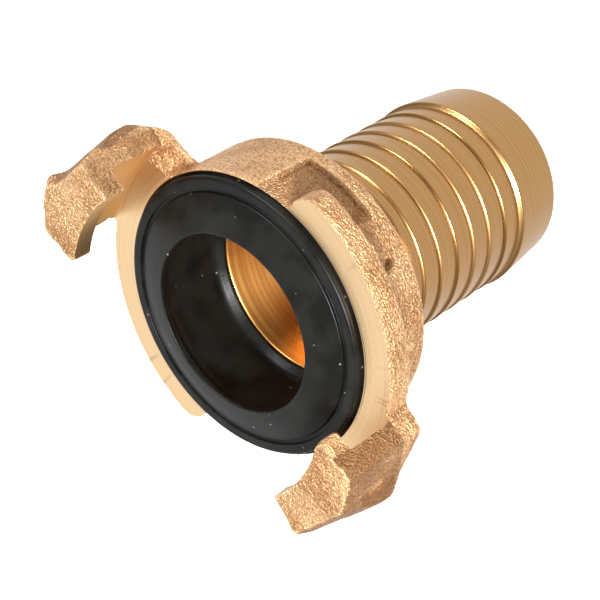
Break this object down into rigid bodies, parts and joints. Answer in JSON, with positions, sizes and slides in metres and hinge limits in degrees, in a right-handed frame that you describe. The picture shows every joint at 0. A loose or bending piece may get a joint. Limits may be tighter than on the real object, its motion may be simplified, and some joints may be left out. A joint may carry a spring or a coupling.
{
  "type": "claw hose coupling",
  "caption": "Half of a two-claw quarter turn hose coupling with a barbed hose tail, flange segments, hooked claws and a rubber face seal.",
  "frame": {"origin": "centre of the hose tail's flat end, on the waterway's axis", "axes": "+Z along the waterway from the hose tail to the sealing face; +X through one claw"},
  "size_m": [0.054, 0.045, 0.0573],
  "materials": {
    "cast_brass": "sand-cast brass, turned on the face and the hose tail",
    "seal_rubber": "matt moulded rubber"
  },
  "bodies": {
    "root": {"coupling_body": "cast_brass", "face_seal": "seal_rubber"}
  },
  "joints": []
}
